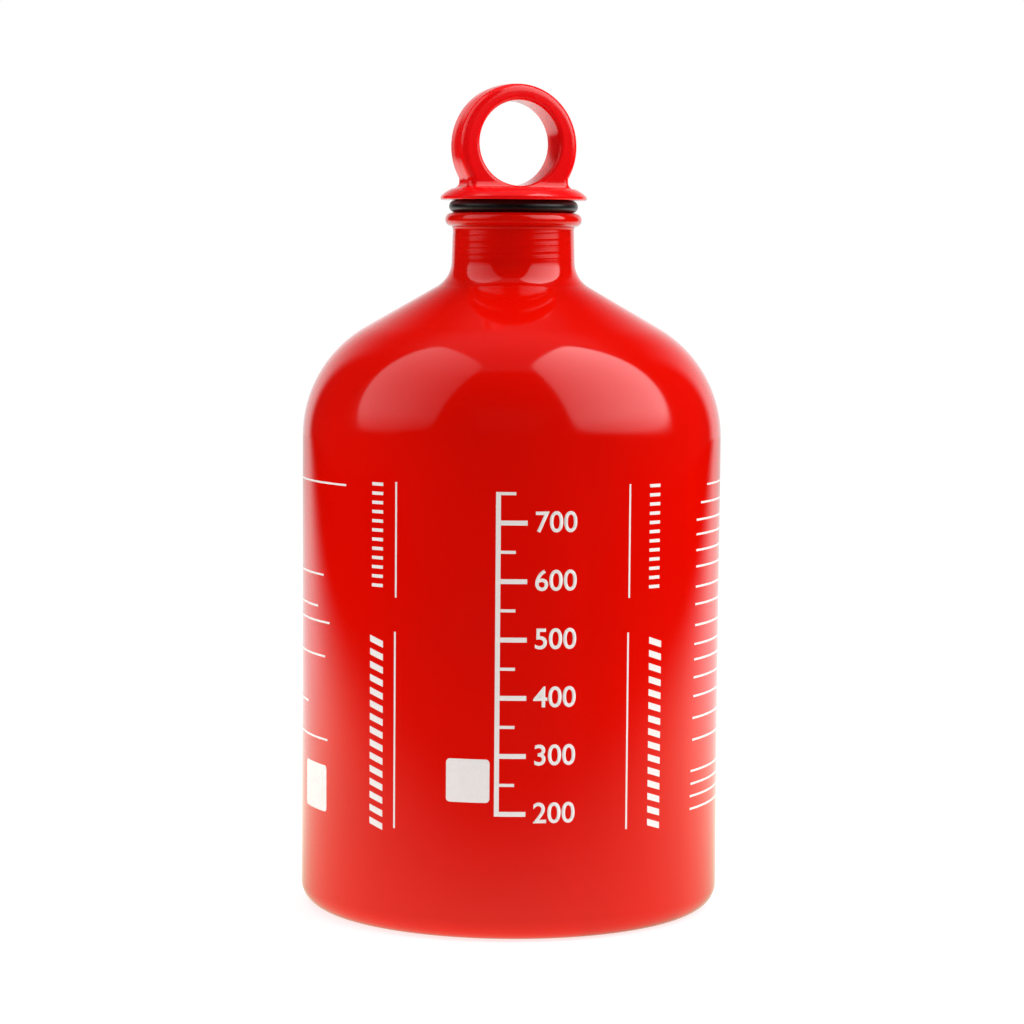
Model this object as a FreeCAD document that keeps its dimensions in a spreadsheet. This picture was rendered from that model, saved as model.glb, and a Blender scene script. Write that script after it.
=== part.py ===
import FreeCAD, Part
import math
import os
import Sketcher
from types import SimpleNamespace

# Camping fuel bottle: a necked aluminium bottle, a rubber sealing ring on its lip and a moulded screw cap
# with a carrying loop. Millimetres, +Z up, origin at the centre of the foot ring, printed front towards -Y.

sizes = {
    # bottle, outside
    "body_radius": 50.0,
    "base_corner": 5.2,         # rounding between side and foot
    "foot_width": 2.8,          # flat ring that the bottle stands on
    "foot_round": 4.0,          # rounding between foot and base dome
    "dome_rise": 5.0,           # how far the base is domed up
    "side_height": 112.25,      # where the straight side ends
    "shoulder_radius": 30.0,
    "shoulder_slope": 30.0,     # degrees above level, on the straight part of the shoulder
    "neck_round": 7.0,          # hollow rounding from shoulder to neck
    "neck_radius": 14.65,
    "neck_length": 11.4,        # from the end of that rounding to the top of the lip
    "lip_bead": 1.62,           # radius of the rolled bead
    # bottle, inside
    "side_wall": 0.9,
    "base_wall": 1.2,
    "neck_wall": 2.15,
    "throat_round": 8.0,        # rounding from the shoulder's inside to the bore
    "mouth_chamfer": 0.6,
    # sealing ring
    "seal_section": 2.9,
    "seal_seat_gap": 0.05,      # over and under the ring
    "seal_bore_gap": 0.25,      # between the ring and the collar that carries it
    # cap, plug and flange
    "thread_depth": 0.75,
    "thread_gap": 0.15,         # between the crests of the neck's thread and the plug's root
    "collar_gap": 0.3,          # between the collar and the bore
    "collar_length": 4.0,
    "plug_length": 14.4,
    "plug_chamfer": 0.8,
    "plug_wall": 2.2,
    "core_depth": 12.0,
    "core_round": 2.0,
    "flange_overhang": 0.46,    # how far the flange stands out past the lip and the foot of the stem
    "flange_thickness": 2.7,
    "flange_top_round": 2.3,
    "flange_low_round": 0.35,
    # cap, loop
    "loop_hole": 9.95,          # radius of the finger hole
    "loop_rim": 4.15,           # width of the ring over the hole
    "loop_drop": 0.8,           # how far the ring's middle lies under the hole's, so its sides are wider
    "loop_thickness": 9.2,
    "loop_land": 2.0,           # straight middle of the hole, along its axis
    "loop_draft": 2.5,          # degrees, from the mould's parting plane to each face
    "loop_edge_round": 1.8,     # round the ring's and the stem's outer edges
    "hole_edge_round": 1.1,
    "loop_lift": 0.6,           # least height of the hole over the flange, at its drafted ends
    "stem_side": 2.74,          # how far the stem stands out past the hole
    "stem_foot_round": 1.6,
    "loop_turn": 20.8,          # degrees, the loop's front face turned to the viewer's right
}
now = SimpleNamespace(**sizes)

doc = FreeCAD.newDocument("fuel_bottle")
sheet = doc.addObject("Spreadsheet::Sheet", "Sizes")
for row, (name, value) in enumerate(sizes.items(), start=1):
    sheet.set(f"A{row}", name)
    sheet.set(f"B{row}", str(value))
    sheet.setAlias(f"B{row}", name)
doc.recompute()

# How a sketch's constraints number its origin, its axes and the points of an edge
start, end, centre = range(1, 4)
level_axis, upright_axis = -1, -2
origin = (level_axis, start)


def line(first, last):
    return Part.LineSegment(FreeCAD.Vector(*first, 0), FreeCAD.Vector(*last, 0))


def arc(middle, radius, from_degrees, to_degrees):
    circle = Part.Circle(FreeCAD.Vector(*middle, 0), FreeCAD.Vector(0, 0, 1), radius)
    return Part.ArcOfCircle(circle, math.radians(from_degrees), math.radians(to_degrees))


def add_sketch(body, name, role):
    sketch = body.newObject("Sketcher::SketchObject", name)
    plane = next(item for item in body.Origin.OriginFeatures if item.Role == role)
    sketch.AttachmentSupport = (plane, [""])
    sketch.MapMode = "FlatFace"
    return sketch


def meeting_ends(sketch, first, second):
    # the two ends, one of each edge, that lie together
    pairs = [(a, b) for a in (start, end) for b in (start, end)]
    return min(pairs, key=lambda ab: (sketch.getPoint(first, ab[0]) - sketch.getPoint(second, ab[1])).Length)


def draw(sketch, outline, corners):
    # a closed outline, edge after edge, sharp after the edges named in corners and tangent elsewhere
    names = list(outline)
    ids = dict(zip(names, sketch.addGeometry(list(outline.values()), False)))
    for name, following in zip(names, names[1:] + names[:1]):
        first, second = ids[name], ids[following]
        a, b = meeting_ends(sketch, first, second)
        kind = "Coincident" if name in corners else "Tangent"
        sketch.addConstraint(Sketcher.Constraint(kind, first, a, second, b))
    return SimpleNamespace(**ids)


def hold(sketch, kind, *places):
    sketch.addConstraint(Sketcher.Constraint(kind, *places))


def as_drawn(sketch, kind, places):
    # what a dimension measures on the outline as it was drawn
    if kind == "Radius":
        return sketch.Geometry[places[0]].Radius
    if kind == "Angle":
        run = sketch.getPoint(places[0], end) - sketch.getPoint(places[0], start)
        return math.atan2(run.y, run.x)
    run = sketch.getPoint(*places[2:]) - sketch.getPoint(*places[:2])
    return run.x if kind == "DistanceX" else run.y


def measure(sketch, name, formula, kind, *places):
    # a named dimension: bound to a formula of the sheet's cells, or only read off the outline without one
    drawn = as_drawn(sketch, kind, places)
    index = sketch.addConstraint(Sketcher.Constraint(kind, *places, drawn))
    sketch.renameConstraint(index, name)
    if formula is None:
        sketch.setDriving(index, False)
    else:
        sketch.setExpression(f"Constraints.{name}", formula)


def turn(body, kind, name, profile, axis):
    feature = body.newObject(f"PartDesign::{kind}", name)
    feature.Profile = profile
    feature.ReferenceAxis = (profile, [axis])
    doc.recompute()
    return feature


def round_edges(body, name, formula, base, wanted):
    edges = [f"Edge{i}" for i, edge in enumerate(base.Shape.Edges, start=1) if wanted(edge)]
    fillet = body.newObject("PartDesign::Fillet", name)
    fillet.Base = (base, edges)
    fillet.setExpression("Radius", formula)
    doc.recompute()
    return fillet


# Bottle: one necked shell, an outside turned about Z and a cavity cut out of it

bottle = doc.addObject("PartDesign::Body", "bottle_shell")
bottle.Label = "bottle_shell"

slope = math.radians(now.shoulder_slope)
shoulder_turn = 90 - now.shoulder_slope
shoulder_middle = now.body_radius - now.shoulder_radius
foot_inner = now.body_radius - now.base_corner - now.foot_width
foot_outer = now.body_radius - now.base_corner
bore_radius = now.neck_radius - now.neck_wall


def shoulder_end(radius):
    # where the shoulder's rounding, outside or inside, runs into the straight slope
    return shoulder_middle + radius * math.sin(slope), now.side_height + radius * math.cos(slope)


def upright_start(shoulder, rounding, radius):
    # height where a rounding from the slope to an upright wall of this radius ends
    run = shoulder_middle - radius - rounding
    return now.side_height + (shoulder + rounding + run * math.sin(slope)) / math.cos(slope)


def slope_end(rounding, radius, height):
    # where that rounding begins
    return radius + rounding * (1 - math.sin(slope)), height - rounding * math.cos(slope)


def base_dome(rounding, floor):
    # radius, centre height and edge angle of the dome that meets the foot's rounding
    radius = (foot_inner ** 2 + now.dome_rise ** 2) / (2 * now.dome_rise) - rounding
    middle = floor + now.dome_rise - radius
    return radius, middle, math.degrees(math.atan2(floor + rounding - middle, foot_inner))


neck_start = upright_start(now.shoulder_radius, now.neck_round, now.neck_radius)
neck_round_middle = now.neck_radius + now.neck_round
lip_height = neck_start + now.neck_length
bead_middle = lip_height - now.lip_bead
dome, dome_middle, dome_edge = base_dome(now.foot_round, 0)

outside = add_sketch(bottle, "bottle_outside", "XZ_Plane")
shell = draw(outside, {
    "axis": line((0, lip_height), (0, now.dome_rise)),
    "dome": arc((0, dome_middle), dome, dome_edge, 90),
    "foot_round": arc((foot_inner, now.foot_round), now.foot_round, 180 + dome_edge, 270),
    "foot": line((foot_inner, 0), (foot_outer, 0)),
    "corner": arc((foot_outer, now.base_corner), now.base_corner, 270, 360),
    "side": line((now.body_radius, now.base_corner), (now.body_radius, now.side_height)),
    "shoulder": arc((shoulder_middle, now.side_height), now.shoulder_radius, 0, shoulder_turn),
    "slope": line(shoulder_end(now.shoulder_radius), slope_end(now.neck_round, now.neck_radius, neck_start)),
    "neck_round": arc((neck_round_middle, neck_start), now.neck_round, 180, 180 + shoulder_turn),
    "neck": line((now.neck_radius, neck_start), (now.neck_radius, bead_middle - now.lip_bead)),
    "bead": arc((now.neck_radius, bead_middle), now.lip_bead, -90, 90),
    "lip": line((now.neck_radius, lip_height), (0, lip_height)),
}, corners={"axis", "neck", "bead", "lip"})
hold(outside, "PointOnObject", shell.axis, start, upright_axis)
hold(outside, "PointOnObject", shell.axis, end, upright_axis)
hold(outside, "PointOnObject", shell.dome, centre, upright_axis)
hold(outside, "Horizontal", shell.foot)
hold(outside, "PointOnObject", shell.foot, start, level_axis)
hold(outside, "Vertical", shell.side)
hold(outside, "Vertical", shell.neck)
hold(outside, "PointOnObject", shell.bead, centre, shell.neck)
hold(outside, "PointOnObject", shell.bead, end, shell.neck)
hold(outside, "Horizontal", shell.lip)
measure(outside, "dome_rise", "Sizes.dome_rise", "DistanceY", *origin, shell.dome, end)
measure(outside, "foot_round", "Sizes.foot_round", "Radius", shell.foot_round)
measure(outside, "foot_width", "Sizes.foot_width", "DistanceX", shell.foot, start, shell.foot, end)
measure(outside, "base_corner", "Sizes.base_corner", "Radius", shell.corner)
measure(outside, "body_radius", "Sizes.body_radius", "DistanceX", *origin, shell.side, start)
measure(outside, "side_height", "Sizes.side_height", "DistanceY", *origin, shell.side, end)
measure(outside, "shoulder_radius", "Sizes.shoulder_radius", "Radius", shell.shoulder)
measure(outside, "shoulder_slope", "(180 - Sizes.shoulder_slope) * 1 deg", "Angle", shell.slope)
measure(outside, "neck_round", "Sizes.neck_round", "Radius", shell.neck_round)
measure(outside, "neck_radius", "Sizes.neck_radius", "DistanceX", *origin, shell.neck, start)
measure(outside, "neck_length", "Sizes.neck_length", "DistanceY", shell.neck, start, shell.lip, start)
measure(outside, "lip_bead", "Sizes.lip_bead", "Radius", shell.bead)
measure(outside, "lip_height", None, "DistanceY", *origin, shell.lip, end)
turn(bottle, "Revolution", "bottle_turned", outside, "V_Axis")

inner_side = now.body_radius - now.side_wall
inner_corner = now.base_corner - now.side_wall
inner_shoulder = now.shoulder_radius - now.side_wall
inner_foot_round = now.foot_round - now.base_wall
corner_middle = now.base_wall + inner_corner
bore_start = upright_start(inner_shoulder, now.throat_round, bore_radius)
bore_end = lip_height - now.mouth_chamfer
mouth_radius = bore_radius + now.mouth_chamfer
dome, dome_middle, dome_edge = base_dome(inner_foot_round, now.base_wall)
lip_formula = "(bottle_outside.Constraints.lip_height / 1 mm)"
bore_formula = "(Sizes.neck_radius - Sizes.neck_wall)"
mouth_formula = f"{bore_formula} + Sizes.mouth_chamfer"

inside = add_sketch(bottle, "bottle_inside", "XZ_Plane")
cavity = draw(inside, {
    "axis": line((0, lip_height), (0, now.base_wall + now.dome_rise)),
    "dome": arc((0, dome_middle), dome, dome_edge, 90),
    "foot_round": arc((foot_inner, now.foot_round), inner_foot_round, 180 + dome_edge, 270),
    "floor": line((foot_inner, now.base_wall), (foot_outer, now.base_wall)),
    "corner": arc((foot_outer, corner_middle), inner_corner, 270, 360),
    "side": line((inner_side, corner_middle), (inner_side, now.side_height)),
    "shoulder": arc((shoulder_middle, now.side_height), inner_shoulder, 0, shoulder_turn),
    "slope": line(shoulder_end(inner_shoulder), slope_end(now.throat_round, bore_radius, bore_start)),
    "throat": arc((bore_radius + now.throat_round, bore_start), now.throat_round, 180, 180 + shoulder_turn),
    "bore": line((bore_radius, bore_start), (bore_radius, bore_end)),
    "chamfer": line((bore_radius, bore_end), (mouth_radius, lip_height)),
    "mouth": line((mouth_radius, lip_height), (0, lip_height)),
}, corners={"axis", "bore", "chamfer", "mouth"})
hold(inside, "PointOnObject", cavity.axis, start, upright_axis)
hold(inside, "PointOnObject", cavity.axis, end, upright_axis)
hold(inside, "PointOnObject", cavity.dome, centre, upright_axis)
hold(inside, "Horizontal", cavity.floor)
hold(inside, "Vertical", cavity.side)
hold(inside, "Vertical", cavity.bore)
hold(inside, "Horizontal", cavity.mouth)
measure(inside, "dome_top", "Sizes.dome_rise + Sizes.base_wall", "DistanceY", *origin, cavity.dome, end)
measure(inside, "foot_round", "Sizes.foot_round - Sizes.base_wall", "Radius", cavity.foot_round)
measure(inside, "floor_height", "Sizes.base_wall", "DistanceY", *origin, cavity.floor, start)
measure(inside, "floor_width", "Sizes.foot_width", "DistanceX", cavity.floor, start, cavity.floor, end)
measure(inside, "corner", "Sizes.base_corner - Sizes.side_wall", "Radius", cavity.corner)
measure(inside, "side_width", "Sizes.body_radius - Sizes.side_wall", "DistanceX", *origin, cavity.side, end)
measure(inside, "side_height", "Sizes.side_height", "DistanceY", *origin, cavity.side, end)
measure(inside, "shoulder", "Sizes.shoulder_radius - Sizes.side_wall", "Radius", cavity.shoulder)
measure(inside, "shoulder_slope", "(180 - Sizes.shoulder_slope) * 1 deg", "Angle", cavity.slope)
measure(inside, "throat_round", "Sizes.throat_round", "Radius", cavity.throat)
measure(inside, "bore_radius", bore_formula, "DistanceX", *origin, cavity.bore, start)
measure(inside, "mouth_height", lip_formula, "DistanceY", *origin, cavity.mouth, end)
measure(inside, "mouth_radius", mouth_formula, "DistanceX", *origin, cavity.mouth, start)
measure(inside, "chamfer", "Sizes.mouth_chamfer", "DistanceY", cavity.chamfer, start, cavity.chamfer, end)
turn(bottle, "Groove", "bottle_cavity", inside, "V_Axis")

# Sealing ring: lies on the lip, under the flange and round the cap's collar

collar_formula = f"({bore_formula} - Sizes.collar_gap)"
seal = doc.addObject("Part::Torus", "sealing_ring")
seal.Label = "sealing_ring"
seal.setExpression("Radius1", f"{collar_formula} + Sizes.seal_bore_gap + Sizes.seal_section / 2")
seal.setExpression("Radius2", "Sizes.seal_section / 2")
seal.setExpression("Placement.Base.z", f"{lip_formula} + Sizes.seal_seat_gap + Sizes.seal_section / 2")

# Cap: plug, collar and flange turned about Z, with the loop and its stem moulded on
# Its own origin is at the flange's underside, and the loop's hole points along its own Y

cap = doc.addObject("PartDesign::Body", "loop_cap")
cap.Label = "loop_cap"
cap.Placement.Rotation = FreeCAD.Rotation(FreeCAD.Vector(0, 0, 1), now.loop_turn)
cap.setExpression("Placement.Rotation.Angle", "Sizes.loop_turn * 1 deg")
cap.setExpression("Placement.Base.z", f"{lip_formula} + 2 * Sizes.seal_seat_gap + Sizes.seal_section")

half_width = now.loop_hole + now.stem_side
half_depth = now.loop_thickness / 2
stem_corner = math.hypot(half_width - now.loop_edge_round, half_depth - now.loop_edge_round)
stem_reach = stem_corner + now.loop_edge_round + now.stem_foot_round
lip_radius = now.neck_radius + now.lip_bead
flange_radius = max(lip_radius, stem_reach + now.flange_top_round) + now.flange_overhang

width_formula = "(Sizes.loop_hole + Sizes.stem_side - Sizes.loop_edge_round)"
depth_formula = "(Sizes.loop_thickness / 2 - Sizes.loop_edge_round)"
corner_formula = f"sqrt({width_formula} ^ 2 + {depth_formula} ^ 2)"
reach_formula = f"{corner_formula} + Sizes.loop_edge_round + Sizes.stem_foot_round"
covered_formula = f"max(Sizes.neck_radius + Sizes.lip_bead; {reach_formula} + Sizes.flange_top_round)"
flange_formula = f"({covered_formula} + Sizes.flange_overhang)"

plug_formula = f"({bore_formula} - Sizes.thread_depth - Sizes.thread_gap)"
plug_radius = bore_radius - now.thread_depth - now.thread_gap
plug_bottom = -now.plug_length
chamfer_top = plug_bottom + now.plug_chamfer
tip_radius = plug_radius - now.plug_chamfer
collar_radius = bore_radius - now.collar_gap
collar_bottom = -now.collar_length
low_middle = flange_radius - now.flange_low_round
top_middle = flange_radius - now.flange_top_round
flange_top = now.flange_thickness
rim_top = flange_top - now.flange_top_round

turned = add_sketch(cap, "cap_turned", "XZ_Plane")
plug = draw(turned, {
    "axis": line((0, flange_top), (0, plug_bottom)),
    "tip": line((0, plug_bottom), (tip_radius, plug_bottom)),
    "chamfer": line((tip_radius, plug_bottom), (plug_radius, chamfer_top)),
    "thread_root": line((plug_radius, chamfer_top), (plug_radius, collar_bottom)),
    "step": line((plug_radius, collar_bottom), (collar_radius, collar_bottom)),
    "collar": line((collar_radius, collar_bottom), (collar_radius, 0)),
    "underside": line((collar_radius, 0), (low_middle, 0)),
    "low_round": arc((low_middle, now.flange_low_round), now.flange_low_round, 270, 360),
    "rim": line((flange_radius, now.flange_low_round), (flange_radius, rim_top)),
    "top_round": arc((top_middle, rim_top), now.flange_top_round, 0, 90),
    "top": line((top_middle, flange_top), (0, flange_top)),
}, corners={"axis", "tip", "chamfer", "thread_root", "step", "collar", "top"})
hold(turned, "PointOnObject", plug.axis, start, upright_axis)
hold(turned, "PointOnObject", plug.axis, end, upright_axis)
hold(turned, "Horizontal", plug.tip)
hold(turned, "Vertical", plug.thread_root)
hold(turned, "Horizontal", plug.step)
hold(turned, "Vertical", plug.collar)
hold(turned, "Horizontal", plug.underside)
hold(turned, "PointOnObject", plug.underside, start, level_axis)
hold(turned, "Vertical", plug.rim)
hold(turned, "Horizontal", plug.top)
measure(turned, "plug_length", "Sizes.plug_length", "DistanceY", plug.axis, end, *origin)
measure(turned, "chamfer_width", "Sizes.plug_chamfer", "DistanceX", plug.chamfer, start, plug.chamfer, end)
measure(turned, "chamfer_height", "Sizes.plug_chamfer", "DistanceY", plug.chamfer, start, plug.chamfer, end)
measure(turned, "plug_radius", plug_formula, "DistanceX", *origin, plug.thread_root, start)
measure(turned, "collar_length", "Sizes.collar_length", "DistanceY", plug.collar, start, plug.collar, end)
measure(turned, "collar_radius", collar_formula, "DistanceX", *origin, plug.collar, start)
measure(turned, "low_round", "Sizes.flange_low_round", "Radius", plug.low_round)
measure(turned, "flange_radius", flange_formula, "DistanceX", *origin, plug.rim, start)
measure(turned, "top_round", "Sizes.flange_top_round", "Radius", plug.top_round)
measure(turned, "thickness", "Sizes.flange_thickness", "DistanceY", *origin, plug.top, start)
turn(cap, "Revolution", "plug_and_flange", turned, "V_Axis")

# Stem: a rounded block from the flange up to the loop's middle, flared where it meets the flange

drafted_formula = "(Sizes.loop_thickness / 2 + Sizes.stem_foot_round - Sizes.loop_land / 2)"
widest_formula = f"Sizes.loop_hole + {drafted_formula} * tan(Sizes.loop_draft * 1 deg)"
loop_formula = f"(Sizes.flange_thickness + Sizes.loop_lift + {widest_formula})"
close = 1e-4

stem = add_sketch(cap, "stem_section", "XY_Plane")
block = draw(stem, {
    "front": line((-half_width, -half_depth), (half_width, -half_depth)),
    "right": line((half_width, -half_depth), (half_width, half_depth)),
    "back": line((half_width, half_depth), (-half_width, half_depth)),
    "left": line((-half_width, half_depth), (-half_width, -half_depth)),
}, corners={"front", "right", "back", "left"})
hold(stem, "Horizontal", block.front)
hold(stem, "Vertical", block.right)
hold(stem, "Horizontal", block.back)
hold(stem, "Vertical", block.left)
hold(stem, "Symmetric", block.front, start, block.back, start, *origin)
stem_formula = "2 * (Sizes.loop_hole + Sizes.stem_side)"
measure(stem, "width", stem_formula, "DistanceX", block.front, start, block.front, end)
measure(stem, "depth", "Sizes.loop_thickness", "DistanceY", block.right, start, block.right, end)
stem_block = cap.newObject("PartDesign::Pad", "stem_block")
stem_block.Profile = stem
stem_block.setExpression("Length", loop_formula)
doc.recompute()


def is_upright(edge):
    box = edge.BoundBox
    return box.XLength < close and box.YLength < close and abs(box.XMax) > half_width - close


def is_stem_foot(edge):
    box = edge.BoundBox
    level = max(abs(box.ZMin - flange_top), abs(box.ZMax - flange_top)) < close
    return level and max(box.XMax, -box.XMin) < half_width + close


stem_uprights = round_edges(cap, "stem_uprights", "Sizes.loop_edge_round", stem_block, is_upright)
round_edges(cap, "stem_foot", "Sizes.stem_foot_round", stem_uprights, is_stem_foot)

# Loop: a disc turned about a level axis, widest at the mould's parting plane and drafted to both faces

draft = math.radians(now.loop_draft)
loop_radius = now.loop_hole + now.loop_rim + now.loop_drop
edge_middle = half_depth - now.loop_edge_round
edge_height = loop_radius - edge_middle * math.tan(draft) - now.loop_edge_round / math.cos(draft)


def rim_end(side):
    # where the drafted rim runs into the rounding of the front edge, -1, or the back edge, 1
    x = edge_middle + now.loop_edge_round * math.sin(draft)
    return side * x, edge_height + now.loop_edge_round * math.cos(draft)


disc_section = add_sketch(cap, "disc_section", "YZ_Plane")
disc_section.setExpression("AttachmentOffset.Base.y", f"{loop_formula} - Sizes.loop_drop")
disc = draw(disc_section, {
    "axis": line((-half_depth, 0), (half_depth, 0)),
    "back": line((half_depth, 0), (half_depth, edge_height)),
    "back_round": arc((edge_middle, edge_height), now.loop_edge_round, 0, 90 - now.loop_draft),
    "back_rim": line(rim_end(1), (0, loop_radius)),
    "front_rim": line((0, loop_radius), rim_end(-1)),
    "front_round": arc((-edge_middle, edge_height), now.loop_edge_round, 90 + now.loop_draft, 180),
    "front": line((-half_depth, edge_height), (-half_depth, 0)),
}, corners={"axis", "back_rim", "front"})
hold(disc_section, "Symmetric", disc.axis, start, disc.axis, end, *origin)
hold(disc_section, "PointOnObject", disc.axis, start, level_axis)
hold(disc_section, "Vertical", disc.back)
hold(disc_section, "Vertical", disc.front)
hold(disc_section, "PointOnObject", disc.back_rim, end, upright_axis)
hold(disc_section, "Equal", disc.back_round, disc.front_round)
hold(disc_section, "Equal", disc.back_rim, disc.front_rim)
measure(disc_section, "thickness", "Sizes.loop_thickness", "DistanceX", disc.axis, start, disc.axis, end)
radius_formula = "Sizes.loop_hole + Sizes.loop_rim + Sizes.loop_drop"
measure(disc_section, "radius", radius_formula, "DistanceY", *origin, disc.back_rim, end)
measure(disc_section, "edge_round", "Sizes.loop_edge_round", "Radius", disc.back_round)
measure(disc_section, "draft", "(180 - Sizes.loop_draft) * 1 deg", "Angle", disc.back_rim)
turn(cap, "Revolution", "loop_disc", disc_section, "H_Axis")

# Finger hole: a straight land at the parting plane, drafted outwards, long enough to pass the stem's flare

half_length = half_depth + now.stem_foot_round
half_land = now.loop_land / 2
end_radius = now.loop_hole + (half_length - half_land) * math.tan(draft)

hole_section = add_sketch(cap, "hole_section", "YZ_Plane")
hole_section.setExpression("AttachmentOffset.Base.y", loop_formula)
hole = draw(hole_section, {
    "axis": line((-half_length, 0), (half_length, 0)),
    "back": line((half_length, 0), (half_length, end_radius)),
    "back_draft": line((half_length, end_radius), (half_land, now.loop_hole)),
    "land": line((half_land, now.loop_hole), (-half_land, now.loop_hole)),
    "front_draft": line((-half_land, now.loop_hole), (-half_length, end_radius)),
    "front": line((-half_length, end_radius), (-half_length, 0)),
}, corners={"axis", "back", "back_draft", "land", "front_draft", "front"})
hold(hole_section, "Symmetric", hole.axis, start, hole.axis, end, *origin)
hold(hole_section, "PointOnObject", hole.axis, start, level_axis)
hold(hole_section, "Vertical", hole.back)
hold(hole_section, "Vertical", hole.front)
hold(hole_section, "Symmetric", hole.land, start, hole.land, end, upright_axis)
hold(hole_section, "Equal", hole.back_draft, hole.front_draft)
length_formula = "Sizes.loop_thickness + 2 * Sizes.stem_foot_round"
measure(hole_section, "length", length_formula, "DistanceX", hole.axis, start, hole.axis, end)
measure(hole_section, "land", "Sizes.loop_land", "DistanceX", hole.land, end, hole.land, start)
measure(hole_section, "radius", "Sizes.loop_hole", "DistanceY", *origin, hole.land, start)
measure(hole_section, "draft", "(Sizes.loop_draft - 180) * 1 deg", "Angle", hole.back_draft)
loop_hole = turn(cap, "Groove", "loop_hole", hole_section, "H_Axis")


def is_hole_edge(edge):
    # runs round the hole in its front or back face, or through the stem's flare below it
    box = edge.BoundBox
    beside_land = min(abs(box.YMin), abs(box.YMax)) > half_depth - close
    inside_ring = max(box.XMax, -box.XMin) < half_width - close
    return beside_land and inside_ring and box.XLength > now.loop_land and box.ZMin > flange_top + close


round_edges(cap, "hole_edges", "Sizes.hole_edge_round", loop_hole, is_hole_edge)

# Core: the plug is hollow from below

core_radius = plug_radius - now.plug_wall
core_middle = core_radius - now.core_round
core_top = plug_bottom + now.core_depth
core_side_top = core_top - now.core_round

core_section = add_sketch(cap, "core_section", "XZ_Plane")
core = draw(core_section, {
    "axis": line((0, plug_bottom), (0, core_top)),
    "roof": line((0, core_top), (core_middle, core_top)),
    "corner": arc((core_middle, core_side_top), now.core_round, 0, 90),
    "side": line((core_radius, core_side_top), (core_radius, plug_bottom)),
    "mouth": line((core_radius, plug_bottom), (0, plug_bottom)),
}, corners={"axis", "side", "mouth"})
hold(core_section, "PointOnObject", core.axis, start, upright_axis)
hold(core_section, "PointOnObject", core.axis, end, upright_axis)
hold(core_section, "Horizontal", core.roof)
hold(core_section, "Vertical", core.side)
hold(core_section, "Horizontal", core.mouth)
measure(core_section, "plug_length", "Sizes.plug_length", "DistanceY", core.axis, start, *origin)
measure(core_section, "depth", "Sizes.core_depth", "DistanceY", core.axis, start, core.axis, end)
measure(core_section, "radius", f"{plug_formula} - Sizes.plug_wall", "DistanceX", *origin, core.side, start)
measure(core_section, "corner", "Sizes.core_round", "Radius", core.corner)
turn(cap, "Groove", "plug_core", core_section, "V_Axis")

# Every object has to be sound before anything is written

parts = [bottle, seal, cap]
doc.recompute()
failed = [item.Name for item in doc.Objects if {"Invalid", "Error"} & set(item.State)]
failed += [item.Label for item in parts if item.Shape.isNull() or not item.Shape.isValid()]
failed += [item.Label for item in parts if len(item.Shape.Solids) != 1]
if failed:
    raise RuntimeError("not built: " + ", ".join(failed))

os.makedirs("parts", exist_ok=True)
for item in parts:
    item.Shape.exportStep(f"parts/{item.Label}.step")
    print(f"{item.Label}: {item.Shape.Volume / 1000:.2f} cubic centimetres")
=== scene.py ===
import bmesh
import bpy
import math
from mathutils import Matrix, Vector


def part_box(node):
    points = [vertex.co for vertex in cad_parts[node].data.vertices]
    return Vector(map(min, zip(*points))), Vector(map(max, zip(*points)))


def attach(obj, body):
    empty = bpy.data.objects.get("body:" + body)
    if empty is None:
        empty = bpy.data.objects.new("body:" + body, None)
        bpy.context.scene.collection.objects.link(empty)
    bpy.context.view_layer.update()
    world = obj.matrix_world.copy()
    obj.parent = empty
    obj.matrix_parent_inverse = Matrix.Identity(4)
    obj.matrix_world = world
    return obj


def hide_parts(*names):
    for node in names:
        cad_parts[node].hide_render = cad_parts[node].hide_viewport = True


# Camping fuel bottle: lacquered aluminium bottle, rubber sealing ring, moulded screw cap with a loop
# The dictionaries hold millimetres and degrees, the meshes metres; the printed front faces -Y

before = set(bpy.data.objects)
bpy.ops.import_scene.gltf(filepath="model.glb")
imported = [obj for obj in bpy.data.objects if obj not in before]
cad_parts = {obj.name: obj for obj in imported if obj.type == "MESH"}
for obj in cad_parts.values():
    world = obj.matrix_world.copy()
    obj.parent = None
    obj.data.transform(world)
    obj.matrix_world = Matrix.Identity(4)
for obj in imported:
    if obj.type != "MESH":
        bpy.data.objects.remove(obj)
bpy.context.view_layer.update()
mm = 0.001
scene = bpy.context.scene
scene.view_settings.view_transform = "Standard"
print("frame loaded:", ", ".join(sorted(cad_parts)))


def toLinear(hexColour):
    channels = [int(hexColour[i:i + 2], 16) / 255 for i in (1, 3, 5)]
    linear = [c / 12.92 if c <= 0.04045 else ((c + 0.055) / 1.055) ** 2.4 for c in channels]
    return (*linear, 1.0)


def addNode(tree, kind, settings, inputs):
    # settings are the node's own properties; an input is a value, or another node's output to link.
    # In a colour mix, inputs 0, 6 and 7 are the share and the two colours, and output 2 is the result
    node = tree.nodes.new(kind)
    for key, value in settings.items():
        setattr(node, key, value)
    for key, value in inputs.items():
        if isinstance(value, bpy.types.NodeSocket):
            tree.links.new(value, node.inputs[key])
        else:
            node.inputs[key].default_value = value
    return node


def newMaterial(name):
    material = bpy.data.materials.new(name)
    material.use_nodes = True
    material.node_tree.nodes.clear()
    return material, material.node_tree


def perMetre(size):
    return 1 / (size * mm)  # how many of this many millimetres lie in a metre


noiseSpread = (0.3, 0.7)      # where nearly all values of a noise pattern lie

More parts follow.
